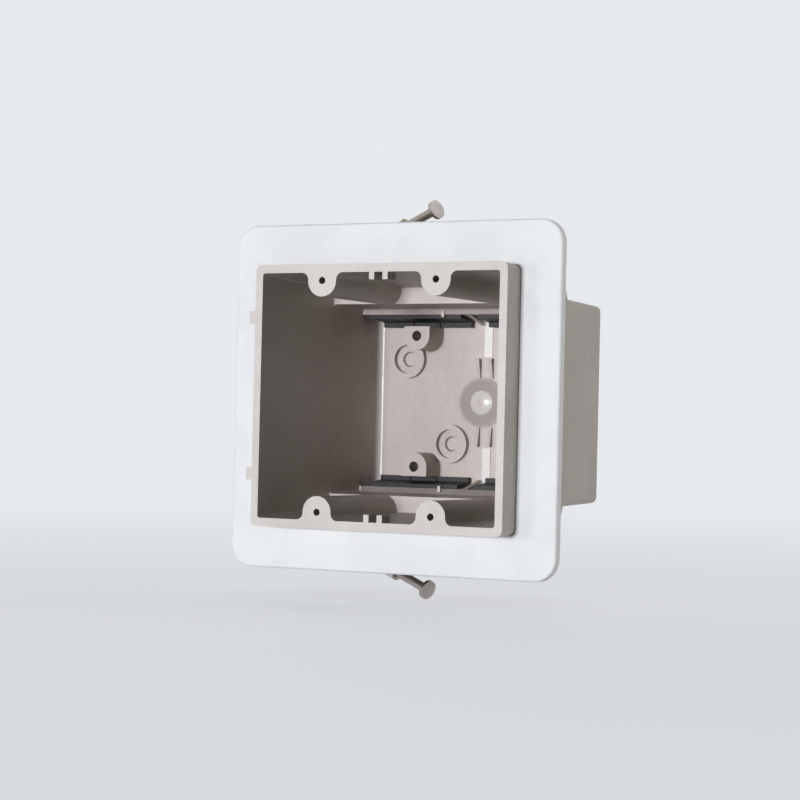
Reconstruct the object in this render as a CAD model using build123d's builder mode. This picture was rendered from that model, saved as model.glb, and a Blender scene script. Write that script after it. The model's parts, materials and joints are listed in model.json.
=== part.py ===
from build123d import *
from math import asin, cos, radians, sin, tan
import os

os.makedirs("parts", exist_ok=True)

# Two-gang nail-on electrical box for new work, moulded in glass-filled polyester.
# The frame: the middle of the four device screw holes, in the front plane, is the origin.
# X runs along the pair of gangs, Y runs from the front into the box and Z is up. Millimetres.

# Outside of the box
box_width = 101.6
box_height = 95.25
box_depth = 88.9
side_draft = 1.6
top_draft = 2.4
rear_draft = 1.5
corner_radius = 2.4
back_radius = 2.0

# Shoulder where the full height ends and the lower rear part begins
shoulder_y = 51.5
shoulder_run = 4.0
shoulder_drop = 7.3

# Walls
side_wall = 2.9
top_wall = 3.1
step_wall = 1.5
rear_top_wall = 2.0
back_wall = 2.9
inner_edge_radius = 1.0
inner_corner_radius = 2.0

# How far a feature reaches into the wall it stands on, and a cut past the face it leaves
wall_bite = 0.5
cut_over = 1.0

# Clamp bay at the back: a ledge on the top and the bottom wall carries the clamps
bay_depth = 14.0
ledge_drop = 2.2

# Device screws: two gangs side by side
gang_pitch = 46.0
device_pitch = 83.3
device_pilot_radius = 1.3
device_pilot_depth = 25.4
ear_radius = 5.8
ear_flare = 2.6
point_match = 0.01

# Divider prongs at the front, between the gangs
prong_width = 2.1
prong_gap = 3.3
prong_height = 2.7
prong_depth = 6.0

# Flange and its seal
flange_front_y = 15.2
flange_thickness = 2.2
gasket_width = 132.0
gasket_height = 126.4
gasket_thickness = 3.8
gasket_corner_radius = 8.5
gasket_inner_gap = 0.15
gasket_edge_radius = 0.9
flange_setback = 2.0

# Bosses on the back wall
boss_pitch = 50.8
boss_radius = 5.5
boss_length = 12.0
boss_head = 3.7
boss_hole_radius = 2.0
boss_hole_depth = 10.0

# Marks and ribs on the back wall
ring_outer_radius = 7.5
ring_inner_radius = 5.6
ring_height = 2.4
dimple_radius = 3.0
dimple_floor_radius = 2.5
dimple_depth = 1.2
upper_ring = (-9.1, 16.7)
lower_ring = (10.2, -16.3)
hub_radius = 9.5
hub_height = 0.6
dome_radius = 4.5
dome_height = 0.9
rib_width = 1.5
rib_height = 2.5
rib_foot_height = 0.7
rib_start = 9.3
rib_length = 7.8
left_rib_x = -1.3
right_rib_x = 4.0
pad_centre_x = 2.5
pad_width = 3.4
pad_height = 0.4
pad_gap = 0.8

# Central gusset between the clamps of the two gangs
gusset_width = 1.8
gusset_drop = 3.6

# Cable clamps: a black strip over each boss with a spring tongue on each side of it
clamp_centre_gap = 7.0
clamp_end_gap = 0.5
clamp_front_gap = 0.9
clamp_bar_depth = 2.2
clamp_thickness = 1.4
clamp_seat_gap = 0.1
tongue_gap = 0.2
tongue_side_gap = 0.5
tongue_width = 13.2
tongue_back_gap = 1.7
tongue_fall = 1.1
jaw_depth = 1.7
entry_front_gap = 0.4
entry_back_gap = 0.3
entry_corner_radius = 1.5
pip_width = 1.2
pip_rise = 1.3
pip_drop = 1.0
pip_depth = 0.9

# Captive nails
nail_length = 63.5
nail_radius = 1.67
nail_head_radius = 3.55
nail_head_thickness = 1.2
nail_point_length = 5.0
nail_point_width = 0.8
nail_tip_inset = 0.4
nail_tip_y = 47.5
nail_tip_gap = 2.666
nail_rise = 19.6
nail_skew = 16.2
guide_bore_gap = 0.2
guide_sleeve_radius = 3.0
guide_sleeve_length = 7.0
guide_web_width = 2.4
guide_start = 1.8
guide_end = 47.0

# Lugs that stop the box on the stud face
lug_height = 4.5
lug_reach = 2.3
lug_length = 6.0
lug_z = 28.5

# Sizes worked out from the driving ones
inner_back_y = box_depth - back_wall
ledge_y = inner_back_y - bay_depth
step_y = shoulder_y - step_wall
shoulder_end_y = shoulder_y + shoulder_run
device_z = device_pitch / 2
boss_z = boss_pitch / 2
gang_x = gang_pitch / 2


def outer_half_width(y):
    return box_width / 2 - y * tan(radians(side_draft))


def inner_half_width(y):
    return outer_half_width(y) - side_wall


def outer_half_height(y):
    return box_height / 2 - y * tan(radians(top_draft))


def rear_half_height(y):
    shoulder_foot = outer_half_height(shoulder_y) - shoulder_drop
    return shoulder_foot - (y - shoulder_end_y) * tan(radians(rear_draft))


def inner_half_height(y):
    return outer_half_height(y) - top_wall


def rear_inner_half_height(y):
    return rear_half_height(y) - rear_top_wall


ledge_z = rear_inner_half_height(ledge_y) - ledge_drop
boss_front_y = inner_back_y - boss_length
boss_top_z = boss_z + boss_head


def depth_plane(y):
    """A plane parallel to the front, y into the box, seen from the front."""
    return Plane.XZ.offset(-y)


# Outside of the shell: straight walls between four rounded sections
with BuildPart() as outside:
    for y, half_height in (
        (0, outer_half_height(0)),
        (shoulder_y, outer_half_height(shoulder_y)),
        (shoulder_end_y, rear_half_height(shoulder_end_y)),
        (box_depth, rear_half_height(box_depth)),
    ):
        with BuildSketch(depth_plane(y)):
            RectangleRounded(2 * outer_half_width(y), 2 * half_height, corner_radius)
    loft(ruled=True)
    fillet(outside.faces().sort_by(Axis.Y)[-1].edges(), back_radius)

# Inside of the shell, open at the front: the tall front part and the rear part, then the clamp bay
with BuildPart() as cavity:
    for start_y, end_y, start_half_height, end_half_height in (
        (-cut_over, step_y, inner_half_height(-cut_over), inner_half_height(step_y)),
        (step_y, ledge_y, rear_inner_half_height(step_y), rear_inner_half_height(ledge_y)),
    ):
        with BuildSketch(depth_plane(start_y)):
            RectangleRounded(2 * inner_half_width(start_y), 2 * start_half_height, inner_edge_radius)
        with BuildSketch(depth_plane(end_y)):
            RectangleRounded(2 * inner_half_width(end_y), 2 * end_half_height, inner_edge_radius)
        loft(ruled=True)
    for y in (ledge_y, inner_back_y):
        with BuildSketch(depth_plane(y)):
            Rectangle(2 * inner_half_width(y), 2 * ledge_z)
    loft(ruled=True)
    fillet(cavity.faces().sort_by(Axis.Y)[-1].edges(), inner_corner_radius)

# A nail lies in an upright plane that leans away from the front towards the stud
nail_tip = (nail_tip_inset - box_width / 2, nail_tip_y, outer_half_height(nail_tip_y) + nail_tip_gap)
rise, skew = radians(nail_rise), radians(nail_skew)
nail_direction = Vector(cos(rise) * cos(skew), -cos(rise) * sin(skew), sin(rise))
nail_run = Vector(cos(skew), -sin(skew), 0)
nail_axis = Plane(origin=nail_tip, z_dir=nail_direction)
guide_plane = Plane(origin=nail_tip, x_dir=nail_run, z_dir=nail_run.cross(Vector(0, 0, 1)))
guide_foot = outer_half_height(nail_tip[1]) - top_wall / 2 - nail_tip[2]


def sleeve_plane(reach):
    """Square to the nail, at this distance along it from its tip."""
    return Plane(origin=Vector(*nail_tip) + nail_direction * reach, z_dir=nail_direction)


# Upper nail guide: two sleeves in line, on a thin web with a groove that the nail lies in
with BuildPart() as nail_guide:
    with BuildSketch(guide_plane) as guide_web:
        with BuildLine():
            Polyline(
                (guide_start * cos(rise), guide_foot),
                (guide_end * cos(rise), guide_foot),
                (guide_end * cos(rise), guide_end * sin(rise)),
                (guide_start * cos(rise), guide_start * sin(rise)),
                close=True,
            )
        make_face()
    extrude(amount=guide_web_width / 2, both=True)
    for reach in (guide_start, guide_end - guide_sleeve_length):
        with BuildSketch(sleeve_plane(reach)):
            Circle(guide_sleeve_radius)
        extrude(amount=guide_sleeve_length)
    with BuildSketch(nail_axis):
        Circle(nail_radius + guide_bore_gap)
    extrude(amount=nail_length, mode=Mode.SUBTRACT)

# The moulding
with BuildPart() as box_body:
    add(outside.part)
    with BuildSketch(depth_plane(flange_front_y)):
        RectangleRounded(
            gasket_width - 2 * flange_setback,
            gasket_height - 2 * flange_setback,
            gasket_corner_radius - flange_setback,
        )
    extrude(amount=-flange_thickness)
    add(nail_guide.part)
    add(nail_guide.part.mirror(Plane.XY))
    add(cavity.part, mode=Mode.SUBTRACT)

    # Raised rings on the back wall with a dimple in the middle, the same in each gang
    rings = [(gang_x * gang + x, z) for gang in (-1, 1) for x, z in (upper_ring, lower_ring)]
    with BuildSketch(depth_plane(inner_back_y)):
        with Locations(*rings):
            Circle(ring_outer_radius)
            Circle(ring_inner_radius, mode=Mode.SUBTRACT)
    extrude(amount=ring_height)
    for x, z in rings:
        with BuildSketch(depth_plane(inner_back_y)):
            with Locations((x, z)):
                Circle(dimple_radius)
        with BuildSketch(depth_plane(inner_back_y + dimple_depth)):
            with Locations((x, z)):
                Circle(dimple_floor_radius)
        loft(mode=Mode.SUBTRACT)

    # Screw columns: the ear at the front runs back to the step, with a flare at the wall
    ear_root_z = inner_half_height(0)
    with BuildSketch(depth_plane(0)) as ears:
        with GridLocations(gang_pitch, device_pitch, 2, 2):
            Circle(ear_radius)
        ear_web = ear_root_z + wall_bite - device_z
        for side in (-1, 1):
            with GridLocations(gang_pitch, 1, 2, 1):
                with Locations((0, side * (device_z + ear_web / 2))):
                    Rectangle(2 * ear_radius, ear_web)
            with Locations((0, side * (ear_root_z + wall_bite / 2))):
                Rectangle(2 * inner_half_width(step_y), wall_bite)
            with Locations((0, side * (ear_root_z + wall_bite + ear_radius))):
                Rectangle(box_width, 2 * ear_radius, mode=Mode.SUBTRACT)
        flare_points = ears.vertices().filter_by(
            lambda point: abs(abs(point.Y) - ear_root_z) < point_match
            and abs(abs(abs(point.X) - gang_x) - ear_radius) < point_match
        )
        fillet(flare_points, ear_flare)
    extrude(amount=-step_y)

    # Divider prongs
    with BuildSketch(depth_plane(0)):
        prong_z = ear_root_z - prong_height
        for side in (-1, 1):
            with GridLocations(prong_gap + prong_width, 1, 2, 1):
                with Locations((0, side * (prong_z + ear_root_z + wall_bite) / 2)):
                    Rectangle(prong_width, ear_root_z + wall_bite - prong_z)
    extrude(amount=-prong_depth)

    # Bosses on the back wall, flat where the clamps sit on them
    with BuildSketch(depth_plane(inner_back_y)):
        with GridLocations(gang_pitch, boss_pitch, 2, 2):
            Circle(boss_radius)
        for side in (-1, 1):
            with GridLocations(gang_pitch, 1, 2, 1):
                with Locations((0, side * (boss_z + boss_head / 2))):
                    Rectangle(2 * boss_radius, boss_head)
        with Locations((0, boss_top_z + boss_radius), (0, -boss_top_z - boss_radius)):
            Rectangle(box_width, 2 * boss_radius, mode=Mode.SUBTRACT)
    extrude(amount=boss_length)

    # Central hub with a low dome on it
    with BuildSketch(depth_plane(inner_back_y)):
        Circle(hub_radius)
    extrude(amount=hub_height)
    hub_y = inner_back_y - hub_height
    dome_curve = (dome_radius**2 + dome_height**2) / (2 * dome_height)
    dome_half_turn = asin(dome_radius / dome_curve) / 2
    dome_middle_y = hub_y - dome_height + dome_curve * (1 - cos(dome_half_turn))
    with BuildSketch(Plane.XY):
        with BuildLine():
            ThreePointArc(
                (dome_radius, hub_y),
                (dome_curve * sin(dome_half_turn), dome_middle_y),
                (0, hub_y - dome_height),
            )
            Polyline(
                (0, hub_y - dome_height),
                (0, hub_y + hub_height),
                (dome_radius, hub_y + hub_height),
                (dome_radius, hub_y),
            )
        make_face()
    revolve(axis=Axis.Y)

    # Ribs above and below the hub, which slope down to it, and a pad beyond each pair
    for rib_x in (left_rib_x, right_rib_x):
        with BuildSketch(Plane.YZ.offset(rib_x)):
            for side in (-1, 1):
                with BuildLine():
                    Polyline(
                        (inner_back_y + wall_bite, side * rib_start),
                        (inner_back_y - rib_foot_height, side * rib_start),
                        (inner_back_y - rib_height, side * (rib_start + rib_length)),
                        (inner_back_y + wall_bite, side * (rib_start + rib_length)),
                        close=True,
                    )
                make_face()
        extrude(amount=rib_width / 2, both=True)
    pad_start = rib_start + rib_length + pad_gap
    with BuildSketch(depth_plane(inner_back_y)):
        for side in (-1, 1):
            with Locations((pad_centre_x, side * (pad_start + ledge_z) / 2)):
                Rectangle(pad_width, ledge_z - pad_start)
    extrude(amount=pad_height)

    # Gusset between the clamps, under the top ledge and over the bottom one
    with BuildSketch(Plane.YZ) as gussets:
        for side in (-1, 1):
            with BuildLine():
                Polyline(
                    (ledge_y, side * ledge_z),
                    (inner_back_y, side * ledge_z),
                    (inner_back_y, side * (ledge_z - gusset_drop)),
                    close=True,
                )
            make_face()
    extrude(amount=gusset_width / 2, both=True)

    # Pips on the ledge face, one a strip, before the right one of its two cable entries
    entry_offset = boss_radius + tongue_side_gap + tongue_width / 2
    entry_x = [gang_x * gang + entry_offset * half for gang in (-1, 1) for half in (-1, 1)]
    with BuildSketch(depth_plane(ledge_y - pip_depth)):
        for x in (entry_offset - gang_x, entry_offset + gang_x):
            for side in (-1, 1):
                with Locations((x, side * (ledge_z + (pip_rise - pip_drop) / 2))):
                    Rectangle(pip_width, pip_rise + pip_drop)
    extrude(amount=-pip_depth - clamp_front_gap + clamp_seat_gap)

    # Stud lugs on the left side of the collar
    for side in (-1, 1):
        with BuildSketch(Plane.XY.offset(side * lug_z)):
            with BuildLine():
                Polyline(
                    (-outer_half_width(0) + side_wall / 2, 0),
                    (-outer_half_width(0) - lug_reach, 0),
                    (-outer_half_width(lug_length), lug_length),
                    (-outer_half_width(lug_length) + side_wall / 2, lug_length),
                    close=True,
                )
            make_face()
        extrude(amount=lug_height / 2, both=True)

    # Cable entries through the top and bottom walls, over the tongues
    clamp_front_y = ledge_y + clamp_front_gap
    tongue_front_y = clamp_front_y + clamp_bar_depth + tongue_gap
    tongue_back_y = inner_back_y - tongue_back_gap
    entry_front_y = tongue_front_y + entry_front_gap
    entry_back_y = tongue_back_y - entry_back_gap
    entry_height = rear_half_height(ledge_y) + cut_over
    entry_low_z = ledge_z - cut_over
    for side in (-1, 1):
        with BuildSketch(Plane.XY.offset(side * entry_low_z)):
            for x in entry_x:
                with Locations((x, (entry_front_y + entry_back_y) / 2)):
                    RectangleRounded(tongue_width, entry_back_y - entry_front_y, entry_corner_radius)
        extrude(amount=side * (entry_height - entry_low_z), mode=Mode.SUBTRACT)

    # Blind pilot holes of the device screws and of the bosses
    with BuildSketch(depth_plane(0)):
        with GridLocations(gang_pitch, device_pitch, 2, 2):
            Circle(device_pilot_radius)
    extrude(amount=-device_pilot_depth, mode=Mode.SUBTRACT)
    with BuildSketch(depth_plane(boss_front_y)):
        with GridLocations(gang_pitch, boss_pitch, 2, 2):
            Circle(boss_hole_radius)
    extrude(amount=-boss_hole_depth, mode=Mode.SUBTRACT)

# White sealing frame, round the collar and on the front of the flange
gasket_front_y = flange_front_y - gasket_thickness
with BuildPart() as flange_gasket:
    with BuildSketch(depth_plane(gasket_front_y)):
        RectangleRounded(gasket_width, gasket_height, gasket_corner_radius)
        RectangleRounded(
            2 * (outer_half_width(gasket_front_y) + gasket_inner_gap),
            2 * (outer_half_height(gasket_front_y) + gasket_inner_gap),
            corner_radius,
            mode=Mode.SUBTRACT,
        )
    extrude(amount=-gasket_thickness)
    rim = flange_gasket.faces().sort_by(Axis.Y)[0].outer_wire().edges()
    fillet(rim, gasket_edge_radius)

flange_gasket.part.label = "flange_gasket"
box_body.part.label = "box_body"
export_step(box_body.part, "parts/box_body.step")
export_step(flange_gasket.part, "parts/flange_gasket.step")

# Clamp section, for the upper row: the bar at the front, then a web that falls to the jaw
bar_top_z = ledge_z - clamp_seat_gap
bar_low_z = bar_top_z - clamp_thickness
web_back_top_z = bar_top_z - tongue_fall
web_back_low_z = web_back_top_z - clamp_thickness
jaw_front_y = tongue_back_y - jaw_depth
bar_back_y = clamp_front_y + clamp_bar_depth
strip_inner_x = clamp_centre_gap / 2
strip_outer_x = inner_half_width(tongue_back_y) - clamp_end_gap


def tongue_outline(front_y):
    """Section of the web and the jaw from front_y back, upper row."""
    return [
        (front_y, bar_top_z),
        (tongue_back_y, web_back_top_z),
        (tongue_back_y, boss_top_z),
        (jaw_front_y, boss_top_z),
        (jaw_front_y, web_back_low_z),
        (front_y, bar_low_z),
    ]


def mirrored(points, side):
    return [(y, side * z) for y, z in points]


# One strip a gang in each row, and a tongue on each side of the strip's bridge
for row, side in (("upper", 1), ("lower", -1)):
    for hand, gang in (("left", -1), ("right", 1)):
        with BuildPart() as clamp:
            strip_middle = gang * (strip_inner_x + strip_outer_x) / 2
            with BuildSketch(Plane.YZ.offset(strip_middle)):
                with BuildLine():
                    Polyline(
                        *mirrored(
                            [
                                (clamp_front_y, bar_top_z),
                                (bar_back_y, bar_top_z),
                                (bar_back_y, bar_low_z),
                                (clamp_front_y, bar_low_z),
                            ],
                            side,
                        ),
                        close=True,
                    )
                make_face()
            extrude(amount=(strip_outer_x - strip_inner_x) / 2, both=True)
            with BuildSketch(Plane.YZ.offset(gang * gang_x)):
                with BuildLine():
                    Polyline(*mirrored(tongue_outline(bar_back_y - tongue_gap), side), close=True)
                make_face()
            extrude(amount=boss_radius, both=True)
        name = f"{row}_{hand}_clamp"
        clamp.part.label = name
        export_step(clamp.part, f"parts/{name}.step")

        for place, half in (("outer", gang), ("inner", -gang)):
            with BuildPart() as tongue:
                with BuildSketch(Plane.YZ.offset(gang * gang_x + half * entry_offset)):
                    with BuildLine():
                        Polyline(*mirrored(tongue_outline(tongue_front_y), side), close=True)
                    make_face()
                extrude(amount=tongue_width / 2, both=True)
            name = f"{row}_{hand}_{place}_tongue"
            tongue.part.label = name
            export_step(tongue.part, f"parts/{name}.step")

# A nail: flat head, plain shank and a four-sided point
with BuildPart() as upper_nail:
    with BuildSketch(nail_axis.offset(nail_point_length)):
        Circle(nail_radius)
    extrude(amount=nail_length - nail_point_length - nail_head_thickness)
    with BuildSketch(nail_axis.offset(nail_length - nail_head_thickness)):
        Circle(nail_head_radius)
    extrude(amount=nail_head_thickness)
    with BuildSketch(nail_axis.offset(nail_point_length)):
        Circle(nail_radius)
    with BuildSketch(nail_axis):
        Rectangle(nail_point_width, nail_point_width)
    loft()

upper_nail.part.label = "upper_nail"
export_step(upper_nail.part, "parts/upper_nail.step")
lower_nail = upper_nail.part.mirror(Plane.XY)
lower_nail.label = "lower_nail"
export_step(lower_nail, "parts/lower_nail.step")
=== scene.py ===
import json
import math

import bmesh
import bpy
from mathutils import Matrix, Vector


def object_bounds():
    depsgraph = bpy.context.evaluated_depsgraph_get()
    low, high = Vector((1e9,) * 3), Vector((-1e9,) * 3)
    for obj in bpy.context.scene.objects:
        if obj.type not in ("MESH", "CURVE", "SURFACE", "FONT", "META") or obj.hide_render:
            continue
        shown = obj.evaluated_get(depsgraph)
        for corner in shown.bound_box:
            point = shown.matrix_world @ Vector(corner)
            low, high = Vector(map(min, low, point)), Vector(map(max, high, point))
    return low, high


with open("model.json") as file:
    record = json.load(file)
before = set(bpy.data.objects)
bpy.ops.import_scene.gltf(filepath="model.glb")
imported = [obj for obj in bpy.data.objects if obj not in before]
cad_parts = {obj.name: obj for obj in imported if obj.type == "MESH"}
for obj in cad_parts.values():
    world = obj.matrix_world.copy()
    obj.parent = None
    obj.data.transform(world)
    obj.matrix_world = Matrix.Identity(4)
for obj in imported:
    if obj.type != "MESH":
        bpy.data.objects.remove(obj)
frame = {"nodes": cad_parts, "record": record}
cad_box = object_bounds()

# The box: one compression moulding of glass-filled polyester, warm grey and a little mottled
# where the short fibres show. Walls along the mould's draw carry painted shade: they are painted
# darker than faces across it. The object coordinates that its finish reads are the model's own, in
# metres.


class Link:
    """A shader socket that takes part in plain expressions, each of which adds a Math node."""

    def __init__(self, finish, socket):
        self.finish = finish
        self.socket = socket

    def maths(self, operation, other=None, turned=False):
        values = [self] if other is None else [other, self] if turned else [self, other]
        return self.finish.make("Math", {"operation": operation}, dict(enumerate(values)))

    def __add__(self, other):
        return self.maths("ADD", other)

    def __sub__(self, other):
        return self.maths("SUBTRACT", other)

    def __mul__(self, other):
        return self.maths("MULTIPLY", other)

    def __rsub__(self, other):
        return self.maths("SUBTRACT", other, turned=True)

    __radd__ = __add__
    __rmul__ = __mul__

    def over(self, edge):
        return self.maths("GREATER_THAN", edge)

    def under(self, edge):
        return self.maths("LESS_THAN", edge)

    def smooth(self, low, high):
        """0 below low, 1 above high and a soft ramp between them."""
        return self.finish.make(
            "MapRange",
            {"interpolation_type": "SMOOTHSTEP"},
            {"Value": self, "From Min": low, "From Max": high},
        )

    def size(self):
        return self.maths("ABSOLUTE")

    def root(self):
        return self.maths("SQRT")

    def part(self, name):
        return Link(self.finish, self.socket.node.outputs[name])


class Finish:
    """One material's node tree. make() adds a node from its type, settings and socket values."""

    def __init__(self, name):
        self.material = bpy.data.materials.new(name)
        self.material.use_nodes = True
        self.tree = self.material.node_tree
        self.tree.nodes.clear()
        self.place = self.make("TexCoord", {}, {}, "Object")

    def make(self, kind, settings, values, output=0):
        node = self.tree.nodes.new("ShaderNode" + kind)
        for name, value in settings.items():
            setattr(node, name, value)
        for name, value in values.items():
            if isinstance(value, Link):
                self.tree.links.new(value.socket, node.inputs[name])
            else:
                node.inputs[name].default_value = value
        return Link(self, node.outputs[output])

    def axes(self, source=None):
        """The place, or another vector, as three numbers: across, into the box and up."""
        spot = self.make("SeparateXYZ", {}, {"Vector": source or self.place})
        return spot, spot.part("Y"), spot.part("Z")

    def noise(self, scale, detail=2.0, roughness=0.5, distortion=0.0):
        values = {"Vector": self.place, "Scale": scale, "Detail": detail}
        values.update({"Roughness": roughness, "Distortion": distortion})
        return self.make("TexNoise", {}, values, "Fac")

    def cells(self, scale):
        return self.make("TexVoronoi", {}, {"Vector": self.place, "Scale": scale}, "Distance")

    def blend(self, factor, low, high, way="MIX"):
        settings = {"data_type": "RGBA", "blend_type": way}
        return self.make("Mix", settings, {0: factor, 6: low, 7: high}, 2)

    def bump(self, height, distance, under=None):
        """Raised detail of so many metres, laid over the bump under it."""
        values = {"Height": height, "Distance": distance}
        if under is not None:
            values["Normal"] = under
        return self.make("Bump", {}, values)

    def surface(self, **values):
        named = {name.replace("_", " "): value for name, value in values.items()}
        self.show(self.make("BsdfPrincipled", {}, named))
        return self.material

    def show(self, shader):
        node = self.tree.nodes.new("ShaderNodeOutputMaterial")
        self.tree.links.new(shader.socket, node.inputs["Surface"])


moulding = Finish("moulded_polyester")
flow = moulding.noise(38.0, detail=3.0, roughness=0.6, distortion=0.6)
mottle = moulding.noise(420.0, detail=3.0, roughness=0.65)
fibre = moulding.noise(1900.0, detail=2.0)
pinhole = moulding.cells(650.0).smooth(0.05, 0.11)
shade = (flow * 0.5 + mottle * 0.35 + fibre * 0.15).smooth(0.36, 0.64)

# Painted shade: walls along the mould's draw are painted darker than faces across it, by the way
# their surface faces.
face_warm = (0.550, 0.500, 0.466, 1.0)
face_pale = (0.610, 0.562, 0.530, 1.0)
wall_shade_warm = (0.365, 0.326, 0.284, 1.0)
wall_shade_pale = (0.425, 0.384, 0.339, 1.0)
pinhole_colour = (0.42, 0.385, 0.36, 1.0)
face_grey = moulding.blend(shade, face_warm, face_pale)
wall_shade_grey = moulding.blend(shade, wall_shade_warm, wall_shade_pale)
facing = moulding.axes(moulding.place.part("Normal"))[1].size()
# Painted shade: surfaces that face sideways take the darker wall colour.
grey = moulding.blend(facing.smooth(0.35, 0.85), wall_shade_grey, face_grey)
pitted = moulding.blend(pinhole, pinhole_colour, grey)

# The inside of the shell lies between the middles of its walls. The roof steps down at the
# shoulder. Painted shade: deep inside the box the colour is darkened a little and turned pinker.
side_middle = 0.0474
front_roof_middle = 0.0447
roof_step = 0.0079
shoulder = 0.0555
back_middle = 0.0880
deep_shade_tint = (0.98, 0.92, 0.925, 1.0)
across, depth, height = moulding.axes()
roof_middle = front_roof_middle - depth.over(shoulder) * roof_step
between_sides = across.size().under(side_middle)
under_roof = height.size().under(roof_middle)
inside = between_sides * under_roof * depth.under(back_middle)
# Painted shade: a darker, pinker tint laid over the colour deep inside the box.
deep_shaded = moulding.blend(1.0, pitted, deep_shade_tint, "MULTIPLY")
colour_with_deep_shade = moulding.blend(inside * depth.smooth(0.030, 0.065), pitted, deep_shaded)

# On the back wall: two polished pads above and below, a hub left rough round a polished dome,
# and corners polished by the core's edge. The pads, the dome's rim and the corners are also
# painted paler, as a painted highlight.
back_wall_start = 0.0835
pad_centre, pad_half_width, pad_inner_end = 0.0025, 0.0018, 0.0177
# Painted highlight: the paler colour laid on the pads, the dome's rim and the corners.
painted_highlight_colour = (0.70, 0.675, 0.66, 1.0)
hub_shade = (0.320, 0.270, 0.260, 1.0)
on_back_wall = inside * depth.over(back_wall_start)
pad_across = (across - pad_centre).size().under(pad_half_width)
pad = on_back_wall * pad_across * height.size().over(pad_inner_end)
from_hub = (across * across + height * height).root()
dome = on_back_wall * (1.0 - from_hub.smooth(0.0040, 0.0050))
dome_rim = dome * from_hub.smooth(0.0012, 0.0028)
corner = on_back_wall * across.size().smooth(0.0430, 0.0442) * 0.7
hub = on_back_wall * (1.0 - from_hub.smooth(0.0082, 0.0106)) * (1.0 - dome)
polish_and_highlight = pad.maths("MAXIMUM", dome_rim * 0.85).maths("MAXIMUM", corner)
hub_colour = moulding.blend(hub * 0.8, colour_with_deep_shade, hub_shade)
# Painted highlight: the polished places are blended toward the paler colour.
box_colour = moulding.blend(polish_and_highlight * 0.8, hub_colour, painted_highlight_colour)
box_roughness = (mottle * 0.16 + 0.34 + hub * 0.3) * (1.0 - polish_and_highlight * 0.66)

# The noses of the clamp ledges are flat in the model. A slope in their bump shades them as the
# real ones, which are a little rounded over, the lower ones more than the upper ones.
nose_depth, nose_half_thickness = 0.0720, 0.0005
nose_half_length, nose_outer_edge, nose_inner_edge = 0.0450, 0.0359, 0.0330
grain = moulding.bump(fibre * 0.6 + mottle * 0.4, 0.00008)
sink = moulding.bump(flow, 0.0005, under=grain)
at_nose = inside * (depth - nose_depth).size().under(nose_half_thickness)
nose = at_nose * across.size().under(nose_half_length) * height.size().under(nose_outer_edge)
slope = 2.2 - height.over(0.0) * 1.2
rounded = moulding.bump(nose * slope * (height.size() - nose_inner_edge), 1.0, under=sink)
box_finish = moulding.surface(Base_Color=box_colour, Roughness=box_roughness, Normal=rounded)


# The two cable clamps in each row: black moulded strips whose tongues a cable pushes aside.
# They are bought in and pressed on to the flats of the bosses.

clamp_plastic = Finish("black_clamp_plastic")
scuff = clamp_plastic.noise(260.0, detail=3.0, distortion=0.4)
fine = clamp_plastic.noise(2400.0)
clamp_dark = (0.012, 0.011, 0.014, 1.0)
clamp_light = (0.023, 0.022, 0.027, 1.0)
clamp_finish = clamp_plastic.surface(
    Base_Color=clamp_plastic.blend(scuff.smooth(0.4, 0.7), clamp_dark, clamp_light),
    Roughness=scuff * 0.2 + 0.45,
    Normal=clamp_plastic.bump(fine * 0.5 + scuff, 0.00006),
)


# The seal: a frame of closed-cell foam, die-cut from sheet and stuck to the front of the flange.

foam = Finish("closed_cell_foam")
cell = foam.cells(1500.0)
swell = foam.noise(55.0, detail=2.0)
foam_grey = (0.735, 0.735, 0.745, 1.0)
foam_white = (0.780, 0.780, 0.790, 1.0)
foam_finish = foam.surface(
    Base_Color=foam.blend(swell.smooth(0.35, 0.65), foam_grey, foam_white),
    Roughness=swell * 0.1 + 0.62,
    Normal=foam.bump(swell, 0.0004, under=foam.bump(cell, 0.00006)),
)


# The two nails: drawn steel wire with a cold-formed head, left bright. They are held in the
# moulding's guides and slide there when they are driven.

steel = Finish("bright_nail_steel")
drawn = steel.noise(900.0, detail=3.0)
tarnish = steel.noise(140.0, detail=2.0)
steel_dull = (0.37, 0.33, 0.31, 1.0)
steel_clean = (0.52, 0.48, 0.47, 1.0)
steel_finish = steel.surface(
    Base_Color=steel.blend(tarnish.smooth(0.35, 0.7), steel_dull, steel_clean),
    Metallic=1.0,
    Roughness=drawn * 0.2 + 0.28,
    Normal=steel.bump(drawn, 0.00005),
)

finish_of_slot = {
    "box_moulding": box_finish,
    "clamp_black": clamp_finish,
    "seal": foam_finish,
    "nail_steel": steel_finish,
}
slot_of_node = {entry["node"]: entry["material_slot"] for entry in frame["record"]["subparts"]}
for name, piece in frame["nodes"].items():
    piece.data.materials.clear()
    piece.data.materials.append(finish_of_slot[slot_of_node[name]])


# Floor: a plain pale sheet under the lowest point. Away from the box it fades into the background's
# colour, which only the camera and reflections see, so that no horizon shows.

lowest_point = cad_box[0][2]
floor_gap = 0.0005
floor_mesh = bpy.data.meshes.new("floor")
sheet = bmesh.new()
bmesh.ops.create_grid(sheet, x_segments=1, y_segments=1, size=4.0)
bmesh.ops.translate(sheet, vec=(0.0, 0.0, lowest_point - floor_gap), verts=sheet.verts)
sheet.to_mesh(floor_mesh)
sheet.free()
floor = bpy.data.objects.new("floor", floor_mesh)
bpy.context.scene.collection.objects.link(floor)

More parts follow.
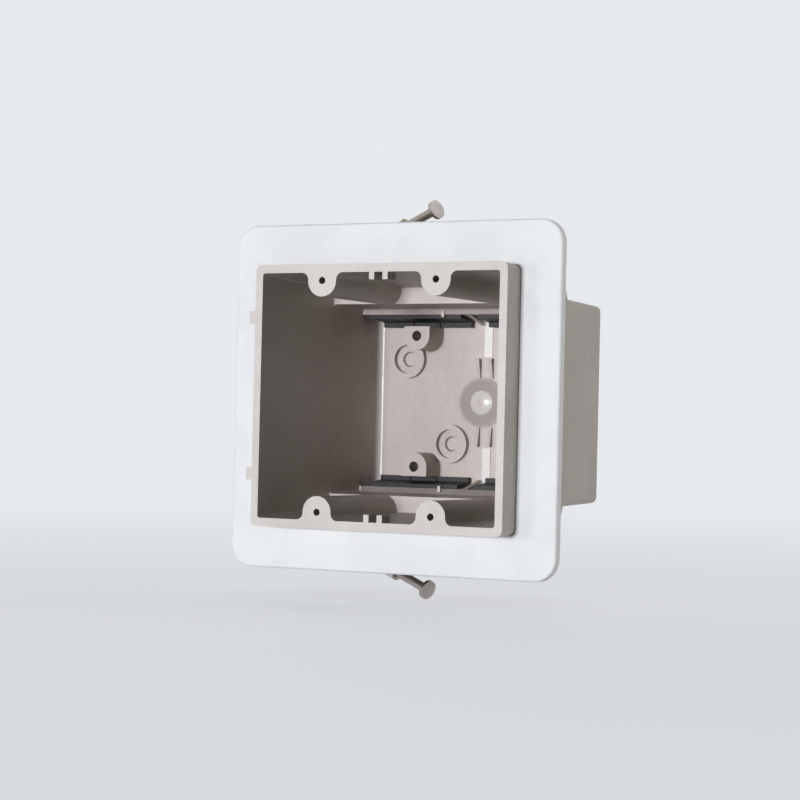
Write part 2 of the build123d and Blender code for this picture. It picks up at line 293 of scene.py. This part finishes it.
background = (0.80, 0.82, 0.85, 1.0)
floor_grey = (0.76, 0.78, 0.81, 1.0)
floor_white = (0.78, 0.80, 0.83, 1.0)
floor_paint = Finish("floor_paint")
floor_colour = floor_paint.blend(floor_paint.noise(3.0), floor_grey, floor_white)
floor_coat = floor_paint.make("BsdfPrincipled", {}, {"Base Color": floor_colour, "Roughness": 0.9})
distance = floor_paint.make("Emission", {}, {"Color": background, "Strength": 1.0})
floor_x, floor_y, _ = floor_paint.axes()
reach = (floor_x * floor_x + floor_y * floor_y).root()
ray = floor_paint.make("LightPath", {}, {}, "Is Camera Ray")
seen = ray.maths("MAXIMUM", ray.part("Is Glossy Ray"))
fade = (reach.smooth(0.0, 1.3) * 0.30 + 0.70) * seen
floor_paint.show(floor_paint.make("MixShader", {}, {0: fade, 1: floor_coat, 2: distance}))
floor_mesh.materials.append(floor_paint.material)

# World: the camera and reflections see the pale background, which lights the object only weakly.

world = bpy.data.worlds.new("studio")
world.use_nodes = True
bpy.context.scene.world = world
sky = world.node_tree
air = sky.nodes["Background"]
air.inputs["Color"].default_value = background
air.inputs["Strength"].default_value = 0.03
backdrop = sky.nodes.new("ShaderNodeBackground")
backdrop.inputs["Color"].default_value = background
backdrop.inputs["Strength"].default_value = 1.0
path = sky.nodes.new("ShaderNodeLightPath")
either = sky.nodes.new("ShaderNodeMixShader")
shown = sky.nodes.new("ShaderNodeMath")
shown.operation = "MAXIMUM"
sky.links.new(path.outputs["Is Camera Ray"], shown.inputs[0])
sky.links.new(path.outputs["Is Glossy Ray"], shown.inputs[1])
sky.links.new(shown.outputs["Value"], either.inputs["Fac"])
sky.links.new(air.outputs["Background"], either.inputs[1])
sky.links.new(backdrop.outputs["Background"], either.inputs[2])
sky.links.new(either.outputs["Shader"], sky.nodes["World Output"].inputs["Surface"])


# Light: a lamp straight ahead that reaches the back of the box, a soft one from the front left
# for the sheen, two on the right and one on the stud's side for the outside, and one overhead.

box_middle = (0.0, 0.04, 0.0)


def soft_lamp(name, place, size, power, tint):
    data = bpy.data.lights.new(name, "AREA")
    data.shape = "RECTANGLE"
    data.size, data.size_y = size
    data.energy = power
    data.color = tint
    lamp = bpy.data.objects.new(name, data)
    lamp.location = place
    towards = Vector(box_middle) - Vector(place)
    lamp.rotation_euler = towards.to_track_quat("-Z", "Y").to_euler()
    bpy.context.scene.collection.objects.link(lamp)


cool, plain, warm = (0.97, 1.0, 1.03), (1.0, 1.0, 1.0), (1.0, 0.975, 0.94)
soft_lamp("front_lamp", (-0.05, -3.0, 0.03), (0.5, 0.5), 100.0, cool)
soft_lamp("left_lamp", (-0.72, -1.35, 0.04), (0.32, 0.36), 3.2, plain)
soft_lamp("right_lamp", (1.45, 0.3, 0.2), (0.5, 0.5), 4.1, warm)
soft_lamp("rear_lamp", (1.2, 0.9, 0.35), (0.5, 0.5), 3.9, warm)
soft_lamp("stud_side_lamp", (-1.1, 1.0, 0.4), (0.5, 0.5), 5.5, warm)
soft_lamp("top_lamp", (0.0, 0.7, 1.4), (1.0, 1.0), 6.0, plain)


# Camera: the photograph's viewpoint, level with the box and to its right.

focal_pixels, frame_pixels, sensor_width = 2247.69, 800, 36.0
distance_away, shift_right, shift_up = 0.79654, 0.00875, -0.00083
yaw, pitch, roll = math.radians(28.167), math.radians(-0.865), math.radians(1.353)
away = Vector((math.sin(yaw) * math.cos(pitch), -math.cos(yaw) * math.cos(pitch), math.sin(pitch)))
right = (-away).cross(Vector((0, 0, 1))).normalized()
up = right.cross(-away)
camera_place = away * distance_away + right * shift_right + up * shift_up
tilted_right = math.cos(roll) * right + math.sin(roll) * up
tilted_up = -math.sin(roll) * right + math.cos(roll) * up
camera_data = bpy.data.cameras.new("camera")
camera_data.sensor_width = sensor_width
camera_data.lens = focal_pixels * sensor_width / frame_pixels
camera_data.clip_start = 0.01
camera = bpy.data.objects.new("camera", camera_data)
turn = camera.matrix_world.copy()
for row in range(3):
    turn[row][0] = tilted_right[row]
    turn[row][1] = tilted_up[row]
    turn[row][2] = away[row]
    turn[row][3] = camera_place[row]
camera.matrix_world = turn
bpy.context.scene.collection.objects.link(camera)
bpy.context.scene.camera = camera
bpy.context.scene.view_settings.view_transform = "Standard"
